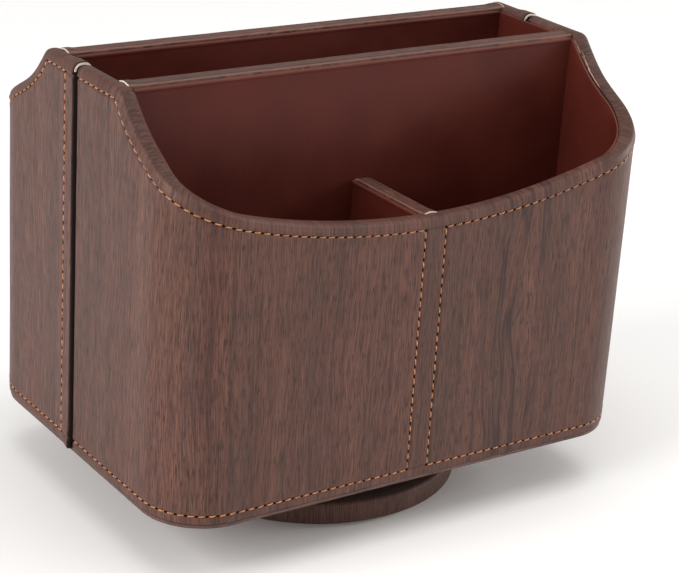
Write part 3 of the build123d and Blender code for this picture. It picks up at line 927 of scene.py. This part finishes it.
# ---- seams ---------------------------------------------------------------------------------
def make_seam_edge(name, side):
    """The rear cover's pale cut edge where it crosses the rolled rim."""
    rows = [row for row in cover_rows() if row[0] in ("outer", "top", "inner")]
    profile = [(-0.08, -0.35), (-0.08, 0.32), (0.04, 0.36), (0.04, -0.35)]

    def place(station, spot):
        inset, k, lean, _ = rim_section(side * REAR_END, 1, rows[round(station)])
        lift = spot[1] * MM
        spot_a, z = off_rim(REAR_END - (spot[0] + 0.2) * MM, k + lift * math.sin(lean))
        return wall_point(side * spot_a, inset - lift * math.cos(lean), z, 1)

    lofted(name, list(range(len(rows))), profile, place, RAW)


def make_seam_tape(name, side):
    """Dark tape behind the open seam between the two covers, over the boards' joint; its darkness is
    painted shade in the gap.
    """
    depth = 0.85 * MM
    width = 3.0 * MM
    top = TOP_Z - depth
    path = [(BOTTOM_Z + 1.0 * MM, depth), (top - 1.0 * MM, depth), (top - 0.2 * MM, depth + 0.3 * MM),
            (top, depth + 1.2 * MM), (top, ROLL_INNER - 0.08 * MM),
            (TOP_Z - 2.6 * MM, ROLL_INNER - 0.05 * MM)]
    profile = [(-width, 0.0), (width, 0.0), (width, 0.12), (-width, 0.12)]
    stations = list(range(len(path)))

    def place(station, spot):
        z, inset = path[round(station)]
        out = spot[1] * MM
        upper = station >= 3
        x = HALF_W - inset + (0 if upper else out)
        return Vector((side * x, SEAM_Y + spot[0], z + (out if upper else 0)))

    lofted(name, stations, profile, place, GAP_SHADE_TAPE)


for label, side in (("left", -1), ("right", 1)):
    make_seam_edge(f"{label}_seam_cut_edge", side)
    make_seam_tape(f"{label}_seam_gap_shade_tape", side)


# ---- stitching -----------------------------------------------------------------------------
STITCH_PITCH = 3.4 * MM
STITCH_L = 2.65 * MM
STITCH_DIP = 0.34 * MM       # how far a stitch's ends go down into the sheet
THREAD_W = 0.54 * MM
HOLE_R = 0.62 * MM
HOLE_DEPTH = 0.27 * MM


def stitch_template():
    """One stitch along X, its ends bent down into the needle holes."""
    bm = bmesh.new()
    bmesh.ops.create_uvsphere(bm, u_segments=7, v_segments=7, radius=1)
    bmesh.ops.rotate(bm, verts=bm.verts, cent=(0, 0, 0), matrix=Matrix.Rotation(math.pi / 2, 3, "Y"))
    for v in bm.verts:
        x = math.copysign(abs(v.co.x) ** 0.8, v.co.x)
        dip = -STITCH_DIP * x**2
        v.co = Vector((x * STITCH_L / 2, v.co.y * THREAD_W / 2, v.co.z * THREAD_W / 2 + dip))
    return mesh_from(bm, "stitch_template")


def hole_template():
    """One needle hole as a flat dark bead of painted shade, longer along the seam."""
    bm = bmesh.new()
    bmesh.ops.create_uvsphere(bm, u_segments=8, v_segments=5, radius=1)
    bmesh.ops.scale(bm, verts=bm.verts, vec=(HOLE_R, HOLE_R * 0.7, 0.16 * MM))
    return mesh_from(bm, "hole_template")


STITCH = stitch_template()
NEEDLE_HOLE = hole_template()


def wall_normal(s, face):
    """Level direction out of the wall."""
    inner = wall_point(s, 1 * MM, 0, face)
    return (wall_point(s, 0, 0, face) - inner).normalized()


def line_points(path, face, end):
    """Evenly spaced points and outward normals along a path of (s, z)."""
    points = []
    for s, z in path:
        stand_out = seam_fold(face, end - abs(s))
        points.append((wall_point(s, -stand_out, z, face), wall_normal(s, face)))
    lengths = [0.0]
    for (first, _), (second, _) in zip(points, points[1:]):
        lengths.append(lengths[-1] + (second - first).length)
    count = max(1, round(lengths[-1] / STITCH_PITCH))
    placed = []
    index = 0
    for i in range(count + 1):
        target = lengths[-1] * i / count
        while index < len(points) - 2 and lengths[index + 1] < target:
            index += 1
        span = max(lengths[index + 1] - lengths[index], 1e-9)
        share = (target - lengths[index]) / span
        point = points[index][0].lerp(points[index + 1][0], share)
        normal = points[index][1].lerp(points[index + 1][1], share).normalized()
        placed.append((point, normal))
    return placed


def add_copy(bm, template, matrix):
    """Add a placed copy of a template mesh."""
    first = len(bm.verts)
    bm.from_mesh(template)
    bm.verts.ensure_lookup_table()
    bmesh.ops.transform(bm, matrix=matrix, verts=bm.verts[first:])


def seam_matrix(point, along, normal):
    """Place at a point with X along the seam and Z out of the sheet."""
    along = along.normalized()
    side = normal.cross(along).normalized()
    normal = along.cross(side)
    matrix = Matrix((along, side, normal)).transposed().to_4x4()
    matrix.translation = point
    return matrix


def dense(start, end, step=0.6 * MM):
    """Values from start to end at about the given step."""
    return steps_between(start, end, max(1, math.ceil(abs(end - start) / step)))


def seam_paths(face, end):
    """The stitch lines of one cover, as paths of (s, z) on the developed wall."""
    stop_a = end - HEM_STITCH if face > 0 else end - 0.6 * MM
    paths = []
    for side in (-1, 1):
        top = []
        for a in dense(MIDDLE_STITCH_S, stop_a):
            line_a, line_z = off_rim(a, -stitch_drop(a))
            top.append((side * line_a, line_z))
        bottom = [(side * a, BOTTOM_STITCH_Z) for a in dense(MIDDLE_STITCH_S, stop_a)]
        middle_top = off_rim(MIDDLE_STITCH_S, -stitch_drop(MIDDLE_STITCH_S))[1]
        middle = [(side * MIDDLE_STITCH_S, z) for z in dense(BOTTOM_STITCH_Z, middle_top, 2 * MM)]
        paths += [top, bottom, middle]
        if face > 0:
            edge_top = off_rim(stop_a, -stitch_drop(stop_a))[1]
            paths.append([(side * stop_a, z) for z in dense(BOTTOM_STITCH_Z, edge_top, 2 * MM)])
    return paths


def make_stitching(name, face, end):
    """All stitches and needle holes of one cover, each slightly uneven as sewn by hand."""
    threads = bmesh.new()
    holes = bmesh.new()
    for path in seam_paths(face, end):
        placed = line_points(path, face, end)
        for (first, out_a), (second, out_b) in zip(placed, placed[1:]):
            normal = (out_a + out_b).normalized()
            sunk = (first + second) / 2 - normal * random.uniform(0.06, 0.13) * MM
            matrix = seam_matrix(sunk, second - first, normal)
            slant = math.radians(6 + random.uniform(-2.5, 2.5))
            stretch = (second - first).length / STITCH_PITCH * random.uniform(0.95, 1.03)
            sized = Matrix.Rotation(slant, 4, "Z") @ Matrix.Diagonal((stretch, 1, 1, 1))
            add_copy(threads, STITCH, matrix @ sized)
        for i, (point, normal) in enumerate(placed):
            ahead = placed[min(i + 1, len(placed) - 1)][0] - placed[max(i - 1, 0)][0]
            sunk = point - normal * HOLE_DEPTH
            add_copy(holes, NEEDLE_HOLE, seam_matrix(sunk, ahead, normal))
    finish_mesh(threads, f"{name}_stitching", THREAD, CADDY)
    finish_mesh(holes, f"{name}_needle_holes", NEEDLE_HOLE_SHADE, CADDY)


make_stitching("front_cover", -1, FRONT_END)
make_stitching("rear_cover", 1, REAR_END)


# ---- base disc -----------------------------------------------------------------------------
DISC_TOP_SHADE = 0.5         # painted shade on the disc, strongest on its top under the caddy
DISC_SIDE_SHADE = 0.2


def make_disc_cover():
    """The covering of the base disc: over its top, down its side and turned under."""
    low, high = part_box("base_disc_cover")
    radius = high.x
    edge_r = 1.5 * MM
    section = [(r, high.z) for r in (0.0, radius * 0.35, radius * 0.7, radius - 4 * MM)]
    for step in range(7):
        lean = math.pi / 2 * step / 6
        section.append((radius - edge_r * (1 - math.sin(lean)), high.z - edge_r * (1 - math.cos(lean))))
    foot_z = low.z + 0.02 * MM
    section += [(radius, low.z + 3.5 * MM), (radius, low.z + 1.2 * MM),
                (radius - 0.25 * MM, low.z + 0.4 * MM), (radius - 0.9 * MM, foot_z),
                (radius - 8 * MM, foot_z)]
    lengths = [0.0]
    for first, second in zip(section, section[1:]):
        lengths.append(lengths[-1] + math.dist(first, second))
    rows = list(zip(section, lengths))
    turns = steps_between(0, 2 * math.pi, 144)

    def place(turn, row):
        (r, z), length = row
        point = Vector((r * math.sin(turn), -r * math.cos(turn), z))
        over = length < radius - 2.2 * MM
        flat = (point.x, point.y) if over else (turn * radius + 0.3, -length)
        # painted shade: darker over the top, under the caddy, than down the side
        shade = DISC_TOP_SHADE if over else DISC_SIDE_SHADE
        return point, flat, (turn * radius, length), (0.0, 0.0, shade)

    bm = shaped_grid(turns, rows, place, away_from_axis)
    bmesh.ops.remove_doubles(bm, verts=bm.verts, dist=0.002 * MM)
    bmesh.ops.recalc_face_normals(bm, faces=bm.faces)
    side = max(bm.faces, key=lambda f: f.calc_area() if abs(f.normal.z) < 0.1 else 0)
    if side.normal.dot(away_from_axis(side.calc_center_median())) < 0:
        bmesh.ops.reverse_faces(bm, faces=bm.faces)
    thicken(finish_mesh(bm, "base_disc_leatherette", TRIM, BASE,
                        replaced=["base_disc_cover"]), SKIN_T)


make_disc_cover()

# ---- finishes of the CAD nodes that stay -----------------------------------------------------
SLOT_FINISH = {"woodgrain_leatherette": PANEL, "burgundy_leatherette": LINING, "board": BOARD,
               "bearing_metal": ALLOY, "steel": STEEL, "nylon": NYLON, "foot_foam": FOAM}
for part in frame["record"]["subparts"]:
    node = frame["nodes"][part["node"]]
    node.data.materials.clear()
    node.data.materials.append(SLOT_FINISH[part["material_slot"]])


# ---- stage, lights and camera ----------------------------------------------------------------
def make_floor():
    """A plain pale floor."""
    bm = bmesh.new()
    bmesh.ops.create_grid(bm, x_segments=2, y_segments=2, size=4)
    floor = new_object("studio_floor", mesh_from(bm, "studio_floor"))
    material, _, _ = new_material("studio_floor", Base_Color=(0.93, 0.93, 0.93, 1), Roughness=0.9)
    floor.data.materials.append(material)


LAMP_COLOUR = (1, 0.975, 0.945)
LAMP_TARGET = Vector((0, 0, 0.08))


def make_light(name, place, size, power):
    """A rectangular lamp aimed at the middle of the object."""
    lamp = bpy.data.lights.new(name, "AREA")
    lamp.shape = "RECTANGLE"
    lamp.size, lamp.size_y = size
    lamp.energy = power
    lamp.color = LAMP_COLOUR
    holder = new_object(name, lamp)
    holder.location = place
    aim = LAMP_TARGET - Vector(place)
    holder.rotation_euler = aim.to_track_quat("-Z", "Y").to_euler()


CAMERA_PLACE = Vector((-371.73, -547.17, 328.30)) * MM
CAMERA_YAW, CAMERA_PITCH, CAMERA_ROLL = 34.975, 21.547, 3.729
CAMERA_LENS = 107.77
CAMERA_SENSOR = 36


def make_camera():
    """A long lens from the front left, slightly above, with a slight roll."""
    yaw, pitch, roll = (math.radians(v) for v in (CAMERA_YAW, CAMERA_PITCH, CAMERA_ROLL))
    ahead = Vector((math.sin(yaw), math.cos(yaw), 0))
    forward = ahead * math.cos(pitch) - Vector((0, 0, math.sin(pitch)))
    level = Vector((math.cos(yaw), -math.sin(yaw), 0))
    upward = level.cross(forward)
    right = level * math.cos(roll) + upward * math.sin(roll)
    up = upward * math.cos(roll) - level * math.sin(roll)
    camera = bpy.data.cameras.new("camera")
    camera.lens = CAMERA_LENS
    camera.sensor_width = CAMERA_SENSOR
    holder = new_object("camera", camera)
    matrix = Matrix((right, up, -forward)).transposed().to_4x4()
    matrix.translation = CAMERA_PLACE
    holder.matrix_world = matrix
    bpy.context.scene.camera = holder


def make_world():
    """Even white surroundings."""
    world = bpy.data.worlds.new("studio")
    world.use_nodes = True
    background = world.node_tree.nodes["Background"]
    background.inputs["Color"].default_value = (1, 1, 1, 1)
    background.inputs["Strength"].default_value = 0.46
    bpy.context.scene.world = world
    bpy.context.scene.view_settings.view_transform = "Standard"


make_floor()
make_light("key_left", (-1.7, -0.1, 0.9), (1.2, 1.2), 28.5)
make_light("fill_right", (1.8, -0.6, 0.5), (1.0, 1.0), 27)
make_light("top_soft", (0.0, -0.3, 1.7), (1.4, 1.4), 14)
make_world()
make_camera()
